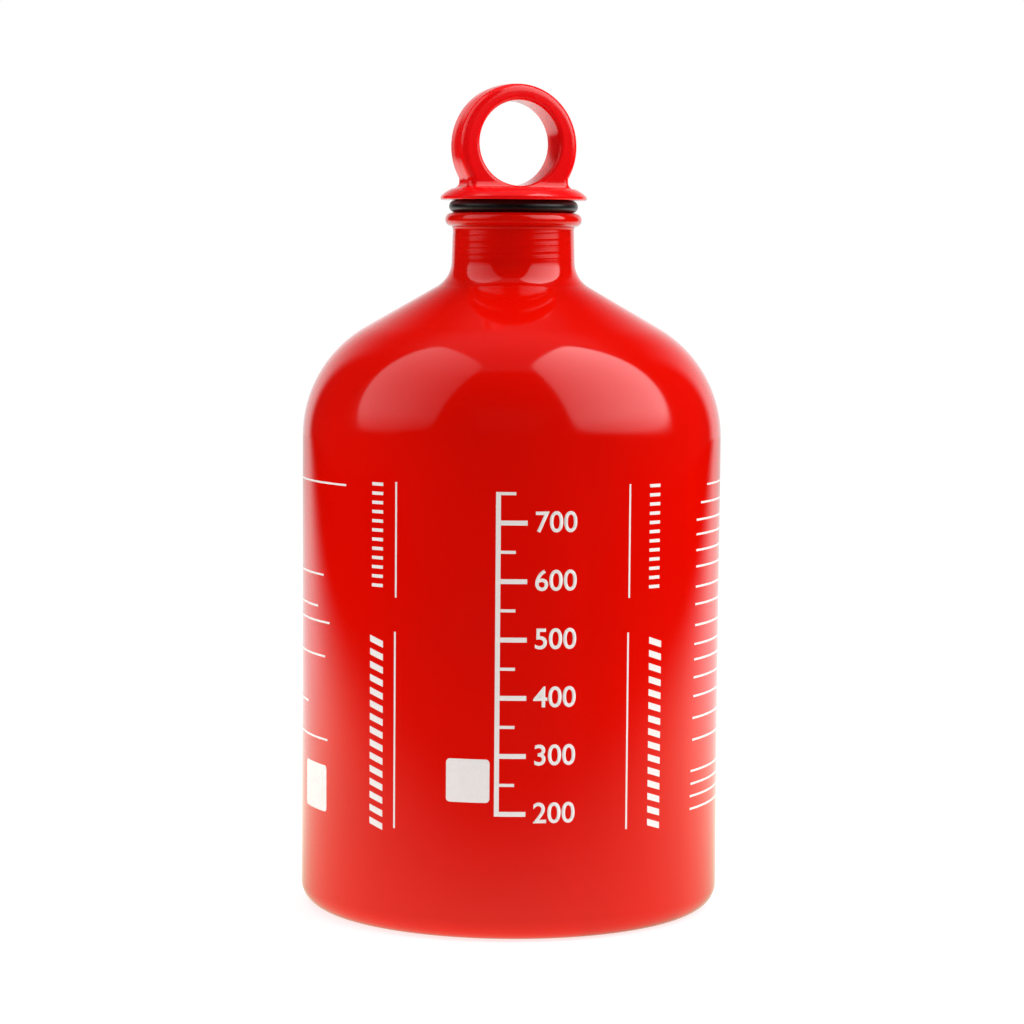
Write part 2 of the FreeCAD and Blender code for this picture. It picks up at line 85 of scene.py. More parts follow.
# Red stoving lacquer, sprayed and baked on a drawn aluminium bottle: a deep wet gloss, a trace of orange
# peel that softens the edges of reflections, and level draw marks that show through the film
lacquerLook = {
    "red": "#D60900",
    "thinRed": "#C90700",     # where the film is thinner
    "cloudSize": 35.0,
    "peelSize": 1.8,
    "peelHeight": 0.0010,
    "drawSpacing": 0.5,       # real marks are about 0.1 mm apart, drawn coarser so that they show
    "drawLength": 60.0,
    "drawHeight": 0.0006,
    "gloss": (0.05, 0.10),    # roughness range
}
redLacquer, tree = newMaterial("redStovingLacquerSprayed")
place = addNode(tree, "ShaderNodeTexCoord", {}, {})
cloud = addNode(tree, "ShaderNodeTexNoise", {}, {
    "Vector": place.outputs["Object"], "Scale": perMetre(lacquerLook["cloudSize"]), "Detail": 3.0})
film = addNode(tree, "ShaderNodeMix", {"data_type": "RGBA"}, {
    0: cloud.outputs["Fac"], 6: toLinear(lacquerLook["red"]), 7: toLinear(lacquerLook["thinRed"])})
gloss = addNode(tree, "ShaderNodeMapRange", {}, {
    "Value": cloud.outputs["Fac"], "From Min": noiseSpread[0], "From Max": noiseSpread[1],
    "To Min": lacquerLook["gloss"][0], "To Max": lacquerLook["gloss"][1]})
peel = addNode(tree, "ShaderNodeTexNoise", {}, {
    "Vector": place.outputs["Object"], "Scale": perMetre(lacquerLook["peelSize"]), "Detail": 1.0})
stretch = addNode(tree, "ShaderNodeMapping", {}, {
    "Vector": place.outputs["Object"],
    "Scale": (perMetre(lacquerLook["drawLength"]),) * 2 + (perMetre(lacquerLook["drawSpacing"]),)})
drawMarks = addNode(tree, "ShaderNodeTexNoise", {}, {
    "Vector": stretch.outputs["Vector"], "Scale": 1.0, "Detail": 2.0})
drawBump = addNode(tree, "ShaderNodeBump", {}, {
    "Height": drawMarks.outputs["Fac"], "Strength": 1.0, "Distance": lacquerLook["drawHeight"] * mm})
peelBump = addNode(tree, "ShaderNodeBump", {}, {
    "Height": peel.outputs["Fac"], "Strength": 1.0, "Distance": lacquerLook["peelHeight"] * mm,
    "Normal": drawBump.outputs["Normal"]})
lacquer = addNode(tree, "ShaderNodeBsdfPrincipled", {}, {
    "Base Color": film.outputs[2], "Metallic": 0.0, "IOR": 1.5,
    "Roughness": gloss.outputs["Result"], "Normal": peelBump.outputs["Normal"]})
addNode(tree, "ShaderNodeOutputMaterial", {}, {"Surface": lacquer.outputs["BSDF"]})

# Bare aluminium inside, drawn and left unpolished: grey metal with fine rings from the punch
bareLook = {
    "grey": "#BDBEBF",
    "dullGrey": "#A5A7A9",
    "ringSpacing": 0.6,       # drawn coarser than the real 0.1 mm so that it shows
    "ringLength": 80.0,
    "ringHeight": 0.004,
    "gloss": (0.28, 0.42),
}
bareAluminium, tree = newMaterial("bareAluminiumDrawn")
place = addNode(tree, "ShaderNodeTexCoord", {}, {})
stretch = addNode(tree, "ShaderNodeMapping", {}, {
    "Vector": place.outputs["Object"],
    "Scale": (perMetre(bareLook["ringLength"]),) * 2 + (perMetre(bareLook["ringSpacing"]),)})
rings = addNode(tree, "ShaderNodeTexNoise", {}, {
    "Vector": stretch.outputs["Vector"], "Scale": 1.0, "Detail": 4.0})
tint = addNode(tree, "ShaderNodeMix", {"data_type": "RGBA"}, {
    0: rings.outputs["Fac"], 6: toLinear(bareLook["grey"]), 7: toLinear(bareLook["dullGrey"])})
gloss = addNode(tree, "ShaderNodeMapRange", {}, {
    "Value": rings.outputs["Fac"], "From Min": noiseSpread[0], "From Max": noiseSpread[1],
    "To Min": bareLook["gloss"][0], "To Max": bareLook["gloss"][1]})
ringBump = addNode(tree, "ShaderNodeBump", {}, {
    "Height": rings.outputs["Fac"], "Strength": 1.0, "Distance": bareLook["ringHeight"] * mm})
metal = addNode(tree, "ShaderNodeBsdfPrincipled", {}, {
    "Base Color": tint.outputs[2], "Metallic": 1.0,
    "Roughness": gloss.outputs["Result"], "Normal": ringBump.outputs["Normal"]})
addNode(tree, "ShaderNodeOutputMaterial", {}, {"Surface": metal.outputs["BSDF"]})

# Red nylon, injection moulded in a smooth steel mould: a clear shine softened by a very fine even grain,
# a little paler where the melt flowed slowly
nylonLook = {
    "red": "#E1060A",
    "flowRed": "#E70B0F",
    "flowSize": 9.0,
    "grainSize": 0.30,        # real grain is about 0.05 mm, drawn coarser so that it shows
    "grainHeight": 0.0020,
    "gloss": (0.10, 0.15),
}
redNylon, tree = newMaterial("redNylonMoulded")
place = addNode(tree, "ShaderNodeTexCoord", {}, {})
flow = addNode(tree, "ShaderNodeTexNoise", {}, {
    "Vector": place.outputs["Object"], "Scale": perMetre(nylonLook["flowSize"]), "Detail": 2.0,
    "Distortion": 0.6})
tint = addNode(tree, "ShaderNodeMix", {"data_type": "RGBA"}, {
    0: flow.outputs["Fac"], 6: toLinear(nylonLook["red"]), 7: toLinear(nylonLook["flowRed"])})
gloss = addNode(tree, "ShaderNodeMapRange", {}, {
    "Value": flow.outputs["Fac"], "From Min": noiseSpread[0], "From Max": noiseSpread[1],
    "To Min": nylonLook["gloss"][0], "To Max": nylonLook["gloss"][1]})
grain = addNode(tree, "ShaderNodeTexNoise", {}, {
    "Vector": place.outputs["Object"], "Scale": perMetre(nylonLook["grainSize"]), "Detail": 2.0})
grainBump = addNode(tree, "ShaderNodeBump", {}, {
    "Height": grain.outputs["Fac"], "Strength": 1.0, "Distance": nylonLook["grainHeight"] * mm})
nylon = addNode(tree, "ShaderNodeBsdfPrincipled", {}, {
    "Base Color": tint.outputs[2], "Metallic": 0.0, "IOR": 1.53,
    "Roughness": gloss.outputs["Result"], "Normal": grainBump.outputs["Normal"]})
addNode(tree, "ShaderNodeOutputMaterial", {}, {"Surface": nylon.outputs["BSDF"]})

# Black nitrile rubber, compression moulded: near black with a dull sheen and a trace of bloom
rubberLook = {
    "black": "#0A0809",
    "bloom": "#151112",
    "bloomSize": 4.0,
    "grainSize": 0.25,        # drawn coarser than the real 0.05 mm
    "grainHeight": 0.0030,
    "gloss": (0.28, 0.40),
}
blackRubber, tree = newMaterial("blackNitrileRubberMoulded")
place = addNode(tree, "ShaderNodeTexCoord", {}, {})
bloom = addNode(tree, "ShaderNodeTexNoise", {}, {
    "Vector": place.outputs["Object"], "Scale": perMetre(rubberLook["bloomSize"]), "Detail": 3.0})
tint = addNode(tree, "ShaderNodeMix", {"data_type": "RGBA"}, {
    0: bloom.outputs["Fac"], 6: toLinear(rubberLook["black"]), 7: toLinear(rubberLook["bloom"])})
gloss = addNode(tree, "ShaderNodeMapRange", {}, {
    "Value": bloom.outputs["Fac"], "From Min": noiseSpread[0], "From Max": noiseSpread[1],
    "To Min": rubberLook["gloss"][0], "To Max": rubberLook["gloss"][1]})
grain = addNode(tree, "ShaderNodeTexNoise", {}, {
    "Vector": place.outputs["Object"], "Scale": perMetre(rubberLook["grainSize"]), "Detail": 2.0})
grainBump = addNode(tree, "ShaderNodeBump", {}, {
    "Height": grain.outputs["Fac"], "Strength": 1.0, "Distance": rubberLook["grainHeight"] * mm})
rubber = addNode(tree, "ShaderNodeBsdfPrincipled", {}, {
    "Base Color": tint.outputs[2], "Metallic": 0.0, "IOR": 1.52,
    "Roughness": gloss.outputs["Result"], "Normal": grainBump.outputs["Normal"]})
addNode(tree, "ShaderNodeOutputMaterial", {}, {"Surface": rubber.outputs["BSDF"]})

# Off-white two-part ink, screen printed: flat and opaque, with the weave of the screen just in it and a
# little of the red grinning through
inkLook = {
    "white": "#E6E1DE",
    "thinWhite": "#DCD2CE",
    "patchSize": 2.5,
    "weaveSpacing": 0.35,     # real mesh is about 0.1 mm, drawn coarser so that it shows
    "weaveHeight": 0.0020,
    "gloss": (0.22, 0.32),
}
whiteInk, tree = newMaterial("whiteInkScreenPrinted")
place = addNode(tree, "ShaderNodeTexCoord", {}, {})
patch = addNode(tree, "ShaderNodeTexNoise", {}, {
    "Vector": place.outputs["Object"], "Scale": perMetre(inkLook["patchSize"]), "Detail": 3.0})
tint = addNode(tree, "ShaderNodeMix", {"data_type": "RGBA"}, {
    0: patch.outputs["Fac"], 6: toLinear(inkLook["white"]), 7: toLinear(inkLook["thinWhite"])})
gloss = addNode(tree, "ShaderNodeMapRange", {}, {
    "Value": patch.outputs["Fac"], "From Min": noiseSpread[0], "From Max": noiseSpread[1],
    "To Min": inkLook["gloss"][0], "To Max": inkLook["gloss"][1]})
weave = addNode(tree, "ShaderNodeTexVoronoi", {}, {
    "Vector": place.outputs["Object"], "Scale": perMetre(inkLook["weaveSpacing"]), "Randomness": 0.25})
weaveBump = addNode(tree, "ShaderNodeBump", {}, {
    "Height": weave.outputs["Distance"], "Strength": 1.0, "Distance": inkLook["weaveHeight"] * mm})
ink = addNode(tree, "ShaderNodeBsdfPrincipled", {}, {
    "Base Color": tint.outputs[2], "Metallic": 0.0, "IOR": 1.48,
    "Roughness": gloss.outputs["Result"], "Normal": weaveBump.outputs["Normal"]})
addNode(tree, "ShaderNodeOutputMaterial", {}, {"Surface": ink.outputs["BSDF"]})
print("materials made")


def addPiece(name, mesh, materials, body):
    for material in materials:
        mesh.materials.append(material)
    piece = bpy.data.objects.new(name, mesh)
    scene.collection.objects.link(piece)
    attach(piece, body)
    return piece


def arcPoints(middle, radius, fromAngle, toAngle, count):
    # points of a round stretch of a profile, as radius and height
    angles = [math.radians(fromAngle + (toAngle - fromAngle) * i / count) for i in range(count + 1)]
    return [(middle[0] + radius * math.cos(a), middle[1] + radius * math.sin(a)) for a in angles]


def linePoints(first, last, count):
    return [tuple(a + (b - a) * i / count for a, b in zip(first, last)) for i in range(count + 1)]


def onBottle(radius, angle, height):
    # angle in radians from the front, growing anticlockwise seen from above
    return Vector((radius * math.sin(angle), -radius * math.cos(angle), height)) * mm


def easeIn(value, low, high):
    t = min(max((value - low) / (high - low), 0.0), 1.0)
    return t * t * (3 - 2 * t)


# The screw that neck and plug share: right-hand, and the same in the bottle's and the cap's frame
screw = {"pitch": 3.0, "crest": 0.25, "flank": 0.50, "depth": 0.75}


def threadHeight(angle, height):
    # how far the neck's ridge stands out here, from 0 at the root to 1 on the crest
    turns = height / screw["pitch"] - angle / (2 * math.pi)
    away = abs(turns - round(turns)) * screw["pitch"]
    return 1 - min(max((away - screw["crest"]) / screw["flank"], 0.0), 1.0)


# Bottle: one shell, turned from its outside and its inside profile
bottle = {
    "bodyRadius": 49.97,      # leaves room for the ink inside the real 50 mm
    "baseCorner": 5.17,
    "footWidth": 2.8,
    "footRound": 4.0,
    "domeRise": 5.0,
    "sideHeight": 112.25,
    "shoulderRadius": 29.97,
    "slope": 30.0,
    "neckRound": 7.0,
    "neckRadius": 14.65,
    "lipBead": 1.62,
    "lipHeight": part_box("bottle_shell")[1].z / mm,
    "sideWall": 0.87,
    "baseWall": 1.2,
    "boreRadius": 12.5,
    "throatRound": 8.0,
    "mouthChamfer": 0.6,
    "mouthEdge": 0.02,        # fine break where the chamfer meets the bore
    "neckLean": 0.03,         # the neck narrows this much per millimetre of height
    "rollMarks": ((3.0, 0.012), (1.5, 0.02), (0.5, 0.003)),   # spacing and height of the neck's marks
    "rollRise": 0.8,          # share of each mark that leans upwards
    "rollSwell": (0.9, 0.25),   # mean strength of the marks, and how far it swings
    "rollWaves": (2, 1.7),    # swings in a turn, and radians of swing per millimetre of height
    "rollFade": (1.0, 1.5, 0.8),   # the marks fade out below and above the neck's start and under the lip
    "threadEnds": (155.3, 163.9),
    "threadFade": 1.2,
    "creaseAngle": 35.0,
    "slack": 0.01,            # a point this close to the axis, the bore or the neck counts as on it
    "steps": 240,             # points round the bottle
}
stretches = {"dome": 20, "foot": 8, "corner": 14, "side": 24, "shoulder": 30, "neckRound": 18, "neck": 110,
             "lip": 20, "bore": 66}   # steps along each stretch of the profile


def baseDome(rounding, floor, footInner):
    radius = (footInner ** 2 + bottle["domeRise"] ** 2) / (2 * bottle["domeRise"]) - rounding
    middle = floor + bottle["domeRise"] - radius
    return radius, middle, math.degrees(math.atan2(floor + rounding - middle, footInner))


def shellProfile(wall, floor, upright, rounding, footRound):
    # from the middle of the base up to the neck, for the outside or the inside
    slope = math.radians(bottle["slope"])
    footOuter = bottle["bodyRadius"] - bottle["baseCorner"]
    footInner = footOuter - bottle["footWidth"]
    corner = bottle["baseCorner"] - wall
    shoulder = bottle["shoulderRadius"] - wall
    shoulderMiddle = (bottle["bodyRadius"] - bottle["shoulderRadius"], bottle["sideHeight"])
    run = shoulderMiddle[0] - upright - rounding
    neckStart = bottle["sideHeight"] + (shoulder + rounding + run * math.sin(slope)) / math.cos(slope)
    dome, domeMiddle, domeEdge = baseDome(footRound, floor, footInner)
    sideRadius = bottle["bodyRadius"] - wall
    sideFoot = (sideRadius, floor + corner)
    sideTop = (sideRadius, bottle["sideHeight"])
    neckMiddle = (upright + rounding, neckStart)
    footMiddle = (footInner, floor + footRound)
    profile = arcPoints((0, domeMiddle), dome, 90, domeEdge, stretches["dome"])
    profile += arcPoints(footMiddle, footRound, 180 + domeEdge, 270, stretches["foot"])[1:]
    profile += arcPoints((footOuter, floor + corner), corner, 270, 360, stretches["corner"])
    profile += linePoints(sideFoot, sideTop, stretches["side"])[1:]
    profile += arcPoints(shoulderMiddle, shoulder, 0, 90 - bottle["slope"], stretches["shoulder"])[1:]
    profile += arcPoints(neckMiddle, rounding, 270 - bottle["slope"], 180, stretches["neckRound"])
    return profile, neckStart


outside, neckStart = shellProfile(0, 0, bottle["neckRadius"], bottle["neckRound"], bottle["footRound"])
inside, boreStart = shellProfile(bottle["sideWall"], bottle["baseWall"], bottle["boreRadius"],
                                 bottle["throatRound"], bottle["footRound"] - bottle["baseWall"])
beadMiddle = (bottle["neckRadius"], bottle["lipHeight"] - bottle["lipBead"])
beadFoot = beadMiddle[1] - bottle["lipBead"]
boreEnd = bottle["lipHeight"] - bottle["mouthChamfer"]
mouthRadius = bottle["boreRadius"] + bottle["mouthChamfer"]
neckFoot = (bottle["neckRadius"], neckStart)
neckTop = (bottle["neckRadius"], beadFoot)
boreFoot = (bottle["boreRadius"], boreStart)
boreTop = (bottle["boreRadius"], boreEnd)
outside += linePoints(neckFoot, neckTop, stretches["neck"])[1:]
outside += arcPoints(beadMiddle, bottle["lipBead"], -90, 90, stretches["lip"])[1:]
outside += [(mouthRadius, bottle["lipHeight"])]
outside += [(boreTop[0] + bottle["mouthEdge"], boreTop[1] + bottle["mouthEdge"])]
inside += linePoints(boreFoot, boreTop, stretches["bore"])[1:]


def rollMark(angle, height):
    # the thread roll left shallow steps that run up round the neck and fade in and out along the turn
    rise = bottle["rollRise"]
    mean, swing = bottle["rollSwell"]
    wavesRound, wavesUp = bottle["rollWaves"]
    swell = mean + swing * math.sin(wavesRound * angle + wavesUp * height)
    total = 0
    for spacing, depth in bottle["rollMarks"]:
        turns = height / spacing - angle / (2 * math.pi) * round(screw["pitch"] / spacing)
        share = turns - math.floor(turns)
        step = 0.5 - share / rise if share < rise else easeIn(share, rise, 1.0) - 0.5
        total += depth * step * swell
    return total


def shellRadius(radius, angle, height, isInside):
    if isInside and radius < bottle["boreRadius"] + bottle["slack"]:
        low, high = bottle["threadEnds"]
        ramp = bottle["threadFade"]
        fade = easeIn(height, low, low + ramp) * easeIn(high - height, 0, ramp)
        return radius - screw["depth"] * threadHeight(angle, height) * fade
    if not isInside and radius < bottle["neckRadius"] + bottle["slack"] and height < beadFoot:
        below, above, underLip = bottle["rollFade"]
        fade = easeIn(height, neckStart - below, neckStart + above) * easeIn(beadFoot - height, 0, underLip)
        return radius + (rollMark(angle, height) - bottle["neckLean"] * (height - neckStart)) * fade
    return radius


def turnShell(outsideProfile, insideProfile, steps):
    # rings of points from the base's underside up, over the lip and down to the base's inside
    marked = [(r, z, False) for r, z in outsideProfile] + [(r, z, True) for r, z in reversed(insideProfile)]
    points, rings = [], []
    for radius, height, isInside in marked:
        ring = [len(points)]
        if radius < bottle["slack"]:
            points.append(Vector((0, 0, height)) * mm)
        else:
            ring = list(range(len(points), len(points) + steps))
            for i in range(steps):
                angle = 2 * math.pi * i / steps
                points.append(onBottle(shellRadius(radius, angle, height, isInside), angle, height))
        rings.append((ring, isInside))
    faces, bare = [], []
    for (low, _), (high, isInside) in zip(rings, rings[1:]):
        for i in range(steps):
            j = (i + 1) % steps
            if len(low) == 1:
                faces.append((low[0], high[j], high[i]))
            elif len(high) == 1:
                faces.append((low[i], low[j], high[0]))
            else:
                faces.append((low[i], low[j], high[j], high[i]))
            bare.append(isInside)
    return points, faces, bare


points, faces, bare = turnShell(outside, inside, bottle["steps"])
shellMesh = bpy.data.meshes.new("lacqueredBottle")
shellMesh.from_pydata(points, [], faces)
lacqueredBottle = addPiece("lacqueredBottle", shellMesh, [redLacquer, bareAluminium], "bottle")
for face, isBare in zip(shellMesh.polygons, bare):
    face.use_smooth = True
    face.material_index = 1 if isBare else 0
shellMesh.set_sharp_from_angle(angle=math.radians(bottle["creaseAngle"]))
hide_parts("bottle_shell")
print("bottle turned:", len(faces), "faces")

# Plug thread: one ridge wound round the plug, between the turns of the neck's ridge
plugThread = {
    "root": 11.45,            # a little inside the plug's own face
    "crest": 12.35,
    "endCrest": 0.05,         # how far the ridge still stands over its root at its ends
    "ends": (155.9, 163.2),
    "phase": 0.5,             # share of a pitch away from the neck's ridge
    "stepsPerTurn": 60,
    "rampTurn": 0.12,         # share of a turn over which each end rises
}


def woundRidge(sizes):
    turns = (sizes["ends"][1] - sizes["ends"][0]) / screw["pitch"]
    count = round(turns * sizes["stepsPerTurn"])
    half = screw["crest"] + screw["flank"]
    endCrest = sizes["root"] + sizes["endCrest"]
    corners = 4  # of the ridge's section
    points, faces = [], []
    for i in range(count + 1):
        turn = turns * i / count
        rise = easeIn(turn, 0, sizes["rampTurn"]) * easeIn(turns - turn, 0, sizes["rampTurn"])
        middle = sizes["ends"][0] + screw["pitch"] * turn
        angle = 2 * math.pi * (middle / screw["pitch"] - sizes["phase"])
        crest = endCrest + (sizes["crest"] - endCrest) * rise
        for radius, shift in ((sizes["root"], -half), (crest, -screw["crest"]),
                              (crest, screw["crest"]), (sizes["root"], half)):
            points.append(onBottle(radius, angle, middle + shift))
    for i in range(count):
        low, high = corners * i, corners * (i + 1)
        for k in range(corners):
            m = (k + 1) % corners
            faces.append((low + k, high + k, high + m, low + m))
    faces.append(tuple(range(corners)))
    faces.append(tuple(reversed(range(corners * count, corners * (count + 1)))))
    return points, faces


points, faces = woundRidge(plugThread)
ridgeMesh = bpy.data.meshes.new("plugThread")
ridgeMesh.from_pydata(points, [], faces)
ridge = bmesh.new()
ridge.from_mesh(ridgeMesh)
bmesh.ops.recalc_face_normals(ridge, faces=ridge.faces)
ridge.to_mesh(ridgeMesh)
ridge.free()
addPiece("plugThread", ridgeMesh, [redNylon], "cap")
print("plug thread wound:", len(faces), "faces")

# Cap: a copy of the solid's mesh on which the flange's round top edge is drawn down to a flatter bevel
flange = {
    "underside": 168.421,
    "edgeHeight": 0.4,        # where the round edge starts over the underside
    "roundEdge": 2.3,         # radius of the solid's edge
    "bevelWidth": 2.7,
    "flatness": 0.70,         # 0 is round, 1 a straight bevel
    "edgeLift": 0.40,         # height added to the upright edge under the bevel
    "slack": 0.02,            # a point this close to the round edge counts as on it
    "weld": 0.001,            # points closer than this are joined
    "creaseAngle": 40.0,
}
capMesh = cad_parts["loop_cap"].data.copy()
capMesh.name = "loopCap"
capMesh.materials.clear()
form = bmesh.new()
form.from_mesh(capMesh)
bmesh.ops.remove_doubles(form, verts=form.verts, dist=flange["weld"] * mm)
flangeRadius = max(v.co.xy.length for v in form.verts) / mm
edgeFoot = flange["underside"] + flange["edgeHeight"]
moved = 0
for vertex in form.verts:
    radius = vertex.co.xy.length / mm
    height = vertex.co.z / mm - edgeFoot
    nearRim = radius > flangeRadius - flange["roundEdge"] - flange["slack"]
    if nearRim and -flange["slack"] < height < flange["roundEdge"] + flange["slack"]:
        angle = math.asin(min(max(height / flange["roundEdge"], 0.0), 1.0))
        share = angle / (math.pi / 2)
        inward = 1 - math.cos(angle) + (share - 1 + math.cos(angle)) * flange["flatness"]
        upward = math.sin(angle) + (share - math.sin(angle)) * flange["flatness"]
        rise = flange["edgeLift"] + (flange["roundEdge"] - flange["edgeLift"]) * upward
        vertex.co.xy *= (flangeRadius - flange["bevelWidth"] * inward) / radius
        vertex.co.z = (edgeFoot + rise) * mm
        moved += 1
form.to_mesh(capMesh)
form.free()
capMesh.attributes.remove(capMesh.attributes["custom_normal"])   # the solid's normals don't fit the bevel
for face in capMesh.polygons:
    face.use_smooth = True
capMesh.set_sharp_from_angle(angle=math.radians(flange["creaseAngle"]))
loopCap = addPiece("loopCap", capMesh, [redNylon], "cap")
evenNormals = loopCap.modifiers.new("evenNormals", "WEIGHTED_NORMAL")
evenNormals.keep_sharp = True
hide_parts("loop_cap")
print("cap formed:", moved, "points of the flange's edge moved")

# The sealing ring keeps its own solid and gets its finish
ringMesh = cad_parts["sealing_ring"].data
ringMesh.materials.clear()
ringMesh.materials.append(blackRubber)
print("sealing ring finished")

# Print: a film of ink on the side; flat shapes, in arc length and height, are cut into narrow strips and
# laid round the bottle
printing = {
    "outer": 49.998,
    "inner": 49.94,
    "strip": 0.7,
    "weld": 1e-4,             # points closer than this are joined
    "sliver": 1e-5,           # edges shorter than this are taken out
    "cornerSteps": 6,
    "figureSwell": 0.012,     # the strokes of the figures grow by this share of their size
}


def layRound(name, flat):
    bmesh.ops.triangulate(flat, faces=flat.faces)
    along = [v.co.x for v in flat.verts]
    first = math.floor(min(along) / printing["strip"])
    last = math.ceil(max(along) / printing["strip"])
    for k in range(first, last + 1):
        everything = flat.verts[:] + flat.edges[:] + flat.faces[:]
        bmesh.ops.bisect_plane(flat, geom=everything, dist=printing["sliver"],
                               plane_co=(k * printing["strip"], 0, 0), plane_no=(1, 0, 0))
    bmesh.ops.remove_doubles(flat, verts=flat.verts, dist=printing["weld"])
    bmesh.ops.dissolve_degenerate(flat, edges=flat.edges, dist=printing["sliver"])
    bmesh.ops.recalc_face_normals(flat, faces=flat.faces)
    film = bmesh.ops.extrude_face_region(flat, geom=flat.faces[:])
    top = {v for v in film["geom"] if isinstance(v, bmesh.types.BMVert)}
    for vertex in flat.verts:
        radius = printing["outer"] if vertex in top else printing["inner"]
        angle = vertex.co.x / bottle["bodyRadius"]
        vertex.co = onBottle(radius, angle, vertex.co.y)
    bmesh.ops.recalc_face_normals(flat, faces=flat.faces)
    mesh = bpy.data.meshes.new(name)
    flat.to_mesh(mesh)
    flat.free()
    addPiece(name, mesh, [whiteInk], "bottle")
    print("printed:", name, len(mesh.polygons), "faces")


def addOutline(flat, corners):
    flat.faces.new([flat.verts.new((x, y, 0)) for x, y in corners])


def addBar(flat, fromX, toX, fromY, toY):
    addOutline(flat, [(fromX, fromY), (toX, fromY), (toX, toY), (fromX, toY)])


def addRoundedPanel(flat, fromX, toX, fromY, toY, rounding):
    corners = []
    middles = ((toX - rounding, toY - rounding), (fromX + rounding, toY - rounding),
               (fromX + rounding, fromY + rounding), (toX - rounding, fromY + rounding))
    for quarter, middle in enumerate(middles):
        corners += arcPoints(middle, rounding, 90 * quarter, 90 * quarter + 90, printing["cornerSteps"])
    addOutline(flat, corners)


def addNumber(flat, words, x, y, size):
    # plain figures, set upright and centred on their height
    curve = bpy.data.curves.new("figures", "FONT")
    curve.body = words
    curve.size = size
    curve.align_x = "LEFT"
    curve.align_y = "CENTER"
    curve.offset = printing["figureSwell"] * size
    holder = bpy.data.objects.new("figures", curve)
    scene.collection.objects.link(holder)
    bpy.context.view_layer.update()
    seen = holder.evaluated_get(bpy.context.evaluated_depsgraph_get())
    mesh = bpy.data.meshes.new_from_object(seen)
    mesh.transform(Matrix.Translation((x, y, 0)))
    flat.from_mesh(mesh)
    bpy.data.objects.remove(holder)
    bpy.data.curves.remove(curve)
    bpy.data.meshes.remove(mesh)


def arcLength(degrees):
    return math.radians(degrees) * bottle["bodyRadius"]


# Thin rules, upright and level
rules = {
    "width": 0.45,
    "uprights": ((-31.4, 104.1, 77.8), (-31.6, 70.0, 24.9), (32.6, 104.0, 78.1), (32.4, 70.2, 25.0)),
    "level": 102.55,
    "levelEnds": ((-118.0, -49.3), (66.0, 118.0)),
}
flat = bmesh.new()
for angle, top, bottom in rules["uprights"]:
    middle = arcLength(angle)
    addBar(flat, middle - rules["width"] / 2, middle + rules["width"] / 2, bottom, top)
for first, last in rules["levelEnds"]:
    addBar(flat, arcLength(first), arcLength(last), rules["level"] - rules["width"] / 2,
           rules["level"] + rules["width"] / 2)
layRound("printedRules", flat)

# Filling scale: a tick every 50 ml, a longer one and its number every 100 ml
scale = {
    "spine": (-3.4, -2.3),
    "lowest": 29.6,           # height of 200 ml over the domed base
    "perTick": 6.602,         # 50 ml in a bore of 49.1 mm radius
    "ticks": 12,
    "volumes": (200, 50),     # millilitres at the lowest tick, and from tick to tick
    "longTick": (6.0, 1.1),   # length and width
    "shortTick": (3.4, 0.7),
    "tickGap": 0.02,          # between spine and ticks, so that no faces lie in each other
    "numberSize": 6.6,
    "numberGap": 1.6,
}
flat = bmesh.new()
highest = scale["lowest"] + scale["perTick"] * (scale["ticks"] - 1)
spineFoot = scale["lowest"] - scale["longTick"][1] / 2
spineTop = highest + scale["shortTick"][1] / 2
tickStart = scale["spine"][1] + scale["tickGap"]
addBar(flat, *scale["spine"], spineFoot, spineTop)
for k in range(scale["ticks"]):
    height = scale["lowest"] + scale["perTick"] * k
    length, width = scale["shortTick"] if k % 2 else scale["longTick"]
    end = tickStart + length
    addBar(flat, tickStart, end, height - width / 2, height + width / 2)
    if k % 2 == 0:
        volume = scale["volumes"][0] + scale["volumes"][1] * k
        addNumber(flat, str(volume), end + scale["numberGap"], height, scale["numberSize"])
layRound("printedScale", flat)

# Two blank panels with rounded corners
panels = {
    "places": ((-16.6, -5.1, 32.1, 42.0), (-73.3, -58.5, 25.5, 36.4)),   # in front and on the left
    "rounding": 0.9,
}
flat = bmesh.new()
for first, last, low, high in panels["places"]:
    addRoundedPanel(flat, arcLength(first), arcLength(last), low, high, panels["rounding"])
layRound("printedPanels", flat)

# Ruled lines on both sides, to write on
ruled = {
    "width": 0.5,
    "left": {"from": -112.0, "lines": ((81.0, -60.5), (73.5, -64.0), (70.0, -57.0), (62.0, -59.5),
                                       (50.3, -72.0), (42.5, -58.0))},
    "right": {"to": 112.0, "lines": ((98.5, 62.0), (94.6, 59.5), (91.2, 59.5), (87.5, 59.5), (83.7, 59.5),
                                     (79.0, 59.5), (74.9, 59.3), (70.0, 59.3), (65.6, 59.0), (62.0, 59.0),
                                     (57.8, 58.8), (53.4, 58.8), (48.3, 58.5), (43.2, 58.5), (35.9, 57.8),
                                     (32.9, 57.8), (30.0, 57.5), (27.0, 57.5))},
}
flat = bmesh.new()
for height, last in ruled["left"]["lines"]:
    addBar(flat, arcLength(ruled["left"]["from"]), arcLength(last), height - ruled["width"] / 2,
           height + ruled["width"] / 2)
for height, first in ruled["right"]["lines"]:
    addBar(flat, arcLength(first), arcLength(ruled["right"]["to"]), height - ruled["width"] / 2,
           height + ruled["width"] / 2)
layRound("printedLines", flat)

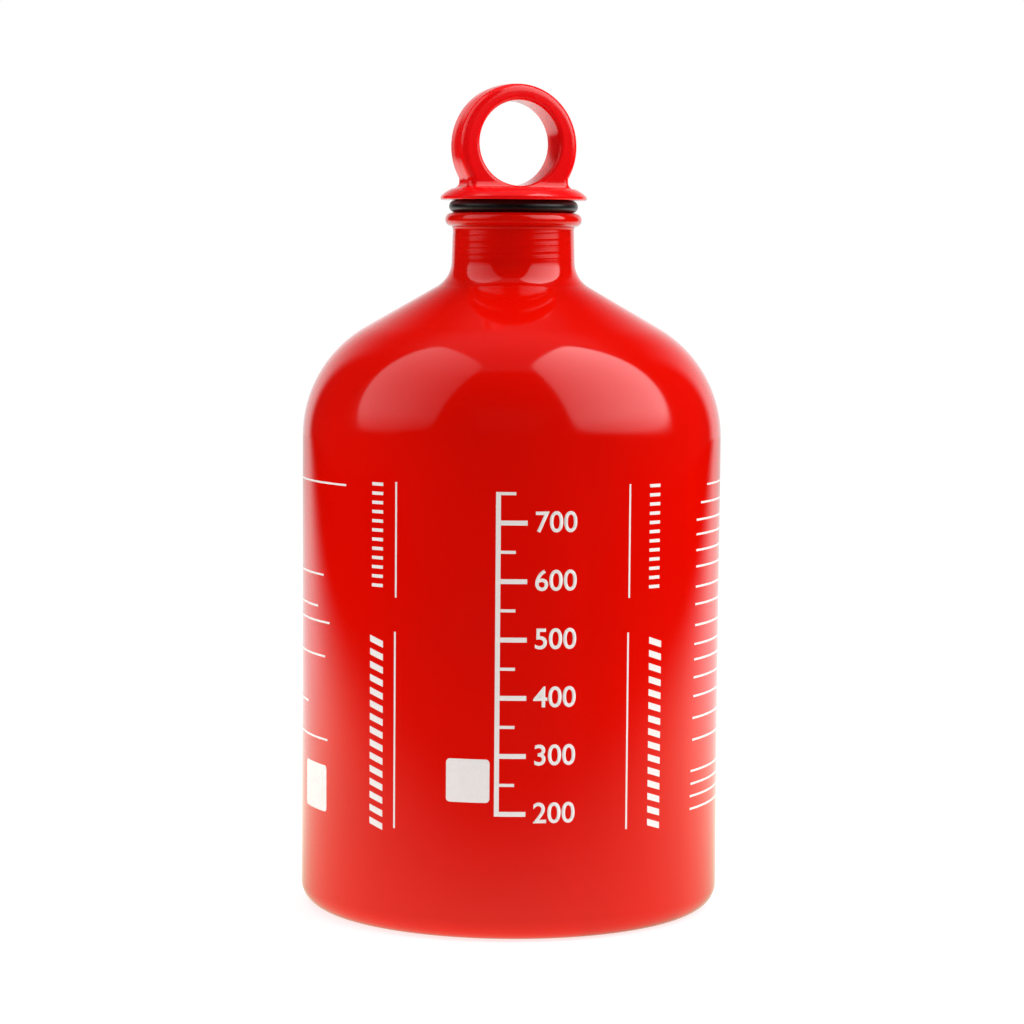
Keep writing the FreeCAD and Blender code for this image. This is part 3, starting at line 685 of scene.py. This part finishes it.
# Plain hatching beside the upright rules: short level strokes above, slanted bars below
hatching = {
    "strokes": {"angles": (-37.4, 41.0), "top": 103.4, "bottom": 78.4, "spacing": 2.1, "length": 3.2,
                "width": 0.75},
    "bars": {"angles": (-37.6, 41.6), "top": 68.8, "bottom": 26.0, "spacing": 3.0, "length": 3.8,
             "width": 1.5, "slant": 1.2},
}
flat = bmesh.new()
strokes = hatching["strokes"]
for angle in strokes["angles"]:
    middle = arcLength(angle)
    height = strokes["top"]
    while height > strokes["bottom"]:
        addBar(flat, middle - strokes["length"] / 2, middle + strokes["length"] / 2,
               height - strokes["width"] / 2, height + strokes["width"] / 2)
        height -= strokes["spacing"]
bars = hatching["bars"]
for angle in bars["angles"]:
    left = arcLength(angle) - bars["length"] / 2
    right = left + bars["length"]
    height = bars["top"]
    while height > bars["bottom"]:
        addOutline(flat, [(left, height - bars["width"]), (right, height - bars["width"] - bars["slant"]),
                          (right, height - bars["slant"]), (left, height)])
        height -= bars["spacing"]
layRound("printedHatching", flat)

# Camera as the photograph was taken
view = {
    "distance": 748.3,
    "height": 155.8,
    "down": 4.723,
    "right": 0.015,
    "roll": 0.445,
    "sensor": 36.0,
    "focalPixels": 3128.4,    # focal length in pixels of a picture this wide
    "pixels": 1024,
    "nearest": 10.0,
}
lens = bpy.data.cameras.new("photoCamera")
lens.sensor_width = view["sensor"]
lens.lens = view["focalPixels"] / view["pixels"] * view["sensor"]
lens.clip_start = view["nearest"] * mm
camera = bpy.data.objects.new("photoCamera", lens)
scene.collection.objects.link(camera)
turned = Matrix.Rotation(-math.radians(view["right"]), 4, "Z")
tilted = Matrix.Rotation(math.radians(90 - view["down"]), 4, "X")
rolled = Matrix.Rotation(math.radians(view["roll"]), 4, "Z")
stand = Matrix.Translation((0, -view["distance"] * mm, view["height"] * mm))
camera.matrix_world = stand @ turned @ tilted @ rolled
scene.camera = camera
print("camera set")

# Two tall softboxes lean over the bottle from both sides and show in its gloss, dimmer towards the front and
# in a band along the lower edge. The fills, even over their faces, light the bottle without showing in it
evenFace = {"front": 1.0, "back": 1.0, "low": 1.0, "band": 0.1, "shows": False}
lamps = {
    "leftSoftbox": {"middle": (-507, -186, 697), "azimuth": -76.7, "elevation": 23.5, "roll": 9.2,
                    "size": (722, 1110), "watts": 3.0,
                    "front": 0.35, "back": 1.35, "low": 0.25, "band": 0.2, "shows": True},
    "rightSoftbox": {"middle": (500, -242, 1000), "azimuth": 76.0, "elevation": 13.7, "roll": -6.4,
                     "size": (975, 1682), "watts": 13.1,
                     "front": 0.45, "back": 1.55, "low": 0.35, "band": 0.14, "shows": True},
    "leftFill": {"middle": (-640, -120, 330), "azimuth": -79.0, "elevation": 18.0, "roll": 0.0,
                 "size": (500, 360), "watts": 2.6, **evenFace},
    "rightFill": {"middle": (640, -120, 330), "azimuth": 79.0, "elevation": 18.0, "roll": 0.0,
                  "size": (500, 360), "watts": 2.1, **evenFace},
    "topFill": {"middle": (0, 250, 900), "azimuth": 180.0, "elevation": 72.0, "roll": 0.0,
                "size": (1200, 600), "watts": 5.9, **evenFace},
    "frontFill": {"middle": (0, -950, 480), "azimuth": 0.0, "elevation": 22.0, "roll": 0.0,
                  "size": (700, 400), "watts": 0.75, **evenFace},
}
lampEdge = 0.008              # a lamp fades out towards its edges over this share of its face
for name, lamp in lamps.items():
    light = bpy.data.lights.new(name, "AREA")
    light.shape = "RECTANGLE"
    light.size = lamp["size"][0] * mm
    light.size_y = lamp["size"][1] * mm
    light.energy = lamp["watts"]
    light.use_nodes = True
    tree = light.node_tree
    tree.nodes.clear()
    spot = addNode(tree, "ShaderNodeNewGeometry", {}, {})
    across = addNode(tree, "ShaderNodeSeparateXYZ", {}, {0: spot.outputs["Parametric"]})
    onLeft = lamp["azimuth"] < 0
    glow = addNode(tree, "ShaderNodeMapRange", {}, {
        "Value": across.outputs["X"],
        "To Min": lamp["back"] if onLeft else lamp["front"],
        "To Max": lamp["front"] if onLeft else lamp["back"]})
    fromEdges = []
    for axis in ("X", "Y"):
        toFarEdge = addNode(tree, "ShaderNodeMath", {"operation": "SUBTRACT"}, {
            0: 1.0, 1: across.outputs[axis]})
        fromEdges.append(addNode(tree, "ShaderNodeMath", {"operation": "MULTIPLY"}, {
            0: across.outputs[axis], 1: toFarEdge.outputs["Value"]}))
    inward = addNode(tree, "ShaderNodeMath", {"operation": "MULTIPLY"}, {
        0: fromEdges[0].outputs["Value"], 1: fromEdges[1].outputs["Value"]})
    lowBand = addNode(tree, "ShaderNodeMapRange", {"interpolation_type": "SMOOTHSTEP"}, {
        "Value": across.outputs["Y"], "From Max": lamp["band"], "To Min": lamp["low"], "To Max": 1.0})
    shaded = addNode(tree, "ShaderNodeMath", {"operation": "MULTIPLY"}, {
        0: glow.outputs["Result"], 1: lowBand.outputs["Result"]})
    softEdge = addNode(tree, "ShaderNodeMapRange", {"interpolation_type": "SMOOTHSTEP"}, {
        "Value": inward.outputs["Value"], "From Max": lampEdge, "To Max": shaded.outputs["Value"]})
    shine = addNode(tree, "ShaderNodeEmission", {}, {"Strength": softEdge.outputs["Result"]})
    addNode(tree, "ShaderNodeOutputLight", {}, {"Surface": shine.outputs["Emission"]})
    holder = bpy.data.objects.new(name, light)
    scene.collection.objects.link(holder)
    azimuth, elevation = math.radians(lamp["azimuth"]), math.radians(lamp["elevation"])
    away = Vector((math.sin(azimuth) * math.cos(elevation), -math.cos(azimuth) * math.cos(elevation),
                   math.sin(elevation)))
    facing = away.to_track_quat("Z", "Y").to_matrix().to_4x4()
    rolled = Matrix.Rotation(math.radians(lamp["roll"]), 4, "Z")
    holder.matrix_world = Matrix.Translation(Vector(lamp["middle"]) * mm) @ facing @ rolled
    holder.visible_camera = False
    holder.visible_glossy = lamp["shows"]
print("lamps set:", ", ".join(lamps))

# Pale table: to the camera it is white with the bottle's shadow on it. To the bottle it is a painted glow,
# not lamp light:
# in the gloss a painted reflection, bright behind it and dark towards the front; to diffuse rays a painted
# bounce glow
table = {
    "width": 3000.0,
    "front": -600.0,
    "back": 2000.0,
    "lit": 1.4,               # painted glow as seen in the gloss, with its fades to the front, the sides and far behind
    "frontFade": (-270.0, 150.0),
    "sideFade": (600.0, 200.0),
    "fan": 0.5,               # the lit part widens by this much per millimetre to the back
    "farFade": (300.0, 1400.0),
    "farShare": 0.62,
    # painted warm light: tint of the table's glow near the bottle, paler behind
    "nearGlowTint": "#FFF4D6",
    "farGlowTint": "#FFFDFA",
    "toneFade": (-50.0, 350.0),
    "bounce": 1.8,            # painted bounce glow as it lights the bottle
    "bounceFade": (700.0, 300.0),
    "seenTone": "#A8A8A8",    # as the camera sees it
    "seenGlow": (0.72, 1.0),
    "glowFade": (150.0, 420.0),
}
tableMesh = bpy.data.meshes.new("table")
half = table["width"] / 2
corners = ((-half, table["front"]), (half, table["front"]), (half, table["back"]), (-half, table["back"]))
tableMesh.from_pydata([(x * mm, y * mm, 0) for x, y in corners], [], [(0, 1, 2, 3)])
paleTable, tree = newMaterial("paleTablePaintedGlow")
place = addNode(tree, "ShaderNodeTexCoord", {}, {})
axes = addNode(tree, "ShaderNodeSeparateXYZ", {}, {0: place.outputs["Object"]})
aside = addNode(tree, "ShaderNodeMath", {"operation": "ABSOLUTE"}, {0: axes.outputs["X"]})
frontFade = addNode(tree, "ShaderNodeMapRange", {"interpolation_type": "SMOOTHSTEP"}, {
    "Value": axes.outputs["Y"], "From Min": table["frontFade"][0] * mm,
    "From Max": table["frontFade"][1] * mm, "To Max": table["lit"]})
fanned = addNode(tree, "ShaderNodeMath", {"operation": "MULTIPLY_ADD"}, {
    0: axes.outputs["Y"], 1: -table["fan"], 2: aside.outputs["Value"]})
sideFade = addNode(tree, "ShaderNodeMapRange", {"interpolation_type": "SMOOTHSTEP"}, {
    "Value": fanned.outputs["Value"], "From Min": table["sideFade"][0] * mm,
    "From Max": table["sideFade"][1] * mm})
farFade = addNode(tree, "ShaderNodeMapRange", {}, {
    "Value": axes.outputs["Y"], "From Min": table["farFade"][0] * mm, "From Max": table["farFade"][1] * mm,
    "To Min": 1.0, "To Max": table["farShare"]})
nearby = addNode(tree, "ShaderNodeMath", {"operation": "MULTIPLY"}, {
    0: frontFade.outputs["Result"], 1: sideFade.outputs["Result"]})
fade = addNode(tree, "ShaderNodeMath", {"operation": "MULTIPLY"}, {
    0: nearby.outputs["Value"], 1: farFade.outputs["Result"]})
reach = addNode(tree, "ShaderNodeVectorMath", {"operation": "LENGTH"}, {0: place.outputs["Object"]})
bounce = addNode(tree, "ShaderNodeMapRange", {"interpolation_type": "SMOOTHSTEP"}, {
    "Value": reach.outputs["Value"], "From Min": table["bounceFade"][0] * mm,
    "From Max": table["bounceFade"][1] * mm, "To Max": table["bounce"]})
rays = addNode(tree, "ShaderNodeLightPath", {}, {})
# painted reflection: in the gloss the table glows instead of being lit by the lamps
inGloss = addNode(tree, "ShaderNodeMath", {"operation": "MULTIPLY"}, {
    0: fade.outputs["Value"], 1: rays.outputs["Is Glossy Ray"]})
toneFade = addNode(tree, "ShaderNodeMapRange", {"interpolation_type": "SMOOTHSTEP"}, {
    "Value": axes.outputs["Y"], "From Min": table["toneFade"][0] * mm,
    "From Max": table["toneFade"][1] * mm})
tone = addNode(tree, "ShaderNodeMix", {"data_type": "RGBA"}, {
    0: toneFade.outputs["Result"], 6: toLinear(table["nearGlowTint"]), 7: toLinear(table["farGlowTint"])})
glossShine = addNode(tree, "ShaderNodeEmission", {}, {
    "Color": tone.outputs[2], "Strength": inGloss.outputs["Value"]})
# painted bounce light: to diffuse rays the table glows and so lights the bottle
onBottleSide = addNode(tree, "ShaderNodeMath", {"operation": "MULTIPLY"}, {
    0: bounce.outputs["Result"], 1: rays.outputs["Is Diffuse Ray"]})
bounceShine = addNode(tree, "ShaderNodeEmission", {}, {"Strength": onBottleSide.outputs["Value"]})
plain = addNode(tree, "ShaderNodeAddShader", {}, {
    0: glossShine.outputs["Emission"], 1: bounceShine.outputs["Emission"]})
glow = addNode(tree, "ShaderNodeMapRange", {"interpolation_type": "SMOOTHSTEP"}, {
    "Value": reach.outputs["Value"], "From Min": table["glowFade"][0] * mm,
    "From Max": table["glowFade"][1] * mm, "To Min": table["seenGlow"][0], "To Max": table["seenGlow"][1]})
seenTone = addNode(tree, "ShaderNodeBsdfDiffuse", {}, {"Color": toLinear(table["seenTone"])})
seenGlow = addNode(tree, "ShaderNodeEmission", {}, {"Strength": glow.outputs["Result"]})
seen = addNode(tree, "ShaderNodeAddShader", {}, {
    0: seenTone.outputs["BSDF"], 1: seenGlow.outputs["Emission"]})
either = addNode(tree, "ShaderNodeMixShader", {}, {
    0: rays.outputs["Is Camera Ray"], 1: plain.outputs["Shader"], 2: seen.outputs["Shader"]})
addNode(tree, "ShaderNodeOutputMaterial", {}, {"Surface": either.outputs["Shader"]})
tableMesh.materials.append(paleTable)
tableTop = bpy.data.objects.new("table", tableMesh)
scene.collection.objects.link(tableTop)
print("table laid")

# World: white to the camera; to the bottle a backdrop that is bright low down behind it, a dim ceiling and
# a dark room in front and at the sides
room = {
    "dim": 0.02,
    "backdrop": 0.95,
    "backdropTop": (0.72, 0.05),
    "backdropEdge": (0.66, 0.52),
    "backdropShift": 0.03,    # to the right
    "backdropFront": (0.0, 0.1),
    "ceiling": 0.165,
    "ceilingRim": (0.78, 0.94),
    "ceilingFront": (-0.42, -0.33),
}
world = bpy.data.worlds.new("studioRoom")
scene.world = world
world.use_nodes = True
tree = world.node_tree
tree.nodes.clear()
place = addNode(tree, "ShaderNodeTexCoord", {}, {})
axes = addNode(tree, "ShaderNodeSeparateXYZ", {}, {0: place.outputs["Generated"]})
shifted = addNode(tree, "ShaderNodeMath", {"operation": "SUBTRACT"}, {
    0: axes.outputs["X"], 1: room["backdropShift"]})
aside = addNode(tree, "ShaderNodeMath", {"operation": "ABSOLUTE"}, {0: shifted.outputs["Value"]})
lowDown = addNode(tree, "ShaderNodeMapRange", {"interpolation_type": "SMOOTHSTEP"}, {
    "Value": axes.outputs["Z"], "From Min": room["backdropTop"][0], "From Max": room["backdropTop"][1],
    "To Max": room["backdrop"]})
inMiddle = addNode(tree, "ShaderNodeMapRange", {"interpolation_type": "SMOOTHSTEP"}, {
    "Value": aside.outputs["Value"], "From Min": room["backdropEdge"][0],
    "From Max": room["backdropEdge"][1]})
isBehind = addNode(tree, "ShaderNodeMapRange", {"interpolation_type": "SMOOTHSTEP"}, {
    "Value": axes.outputs["Y"], "From Min": room["backdropFront"][0], "From Max": room["backdropFront"][1]})
overhead = addNode(tree, "ShaderNodeMapRange", {"interpolation_type": "SMOOTHSTEP"}, {
    "Value": axes.outputs["Z"], "From Min": room["ceilingRim"][0], "From Max": room["ceilingRim"][1],
    "To Max": room["ceiling"]})
fromFront = addNode(tree, "ShaderNodeMapRange", {"interpolation_type": "SMOOTHSTEP"}, {
    "Value": axes.outputs["Y"], "From Min": room["ceilingFront"][0], "From Max": room["ceilingFront"][1]})
acrossBack = addNode(tree, "ShaderNodeMath", {"operation": "MULTIPLY"}, {
    0: inMiddle.outputs["Result"], 1: isBehind.outputs["Result"]})
backdrop = addNode(tree, "ShaderNodeMath", {"operation": "MULTIPLY"}, {
    0: lowDown.outputs["Result"], 1: acrossBack.outputs["Value"]})
ceiling = addNode(tree, "ShaderNodeMath", {"operation": "MULTIPLY"}, {
    0: overhead.outputs["Result"], 1: fromFront.outputs["Result"]})
both = addNode(tree, "ShaderNodeMath", {"operation": "ADD"}, {
    0: backdrop.outputs["Value"], 1: ceiling.outputs["Value"]})
level = addNode(tree, "ShaderNodeMath", {"operation": "ADD"}, {0: both.outputs["Value"], 1: room["dim"]})
plainWhite = toLinear("#FFFFFF")
glow = addNode(tree, "ShaderNodeBackground", {}, {"Color": plainWhite, "Strength": level.outputs["Value"]})
white = addNode(tree, "ShaderNodeBackground", {}, {"Color": plainWhite, "Strength": 1.0})
rays = addNode(tree, "ShaderNodeLightPath", {}, {})
either = addNode(tree, "ShaderNodeMixShader", {}, {
    0: rays.outputs["Is Camera Ray"], 1: glow.outputs["Background"], 2: white.outputs["Background"]})
addNode(tree, "ShaderNodeOutputWorld", {}, {"Surface": either.outputs["Shader"]})
print("room set")
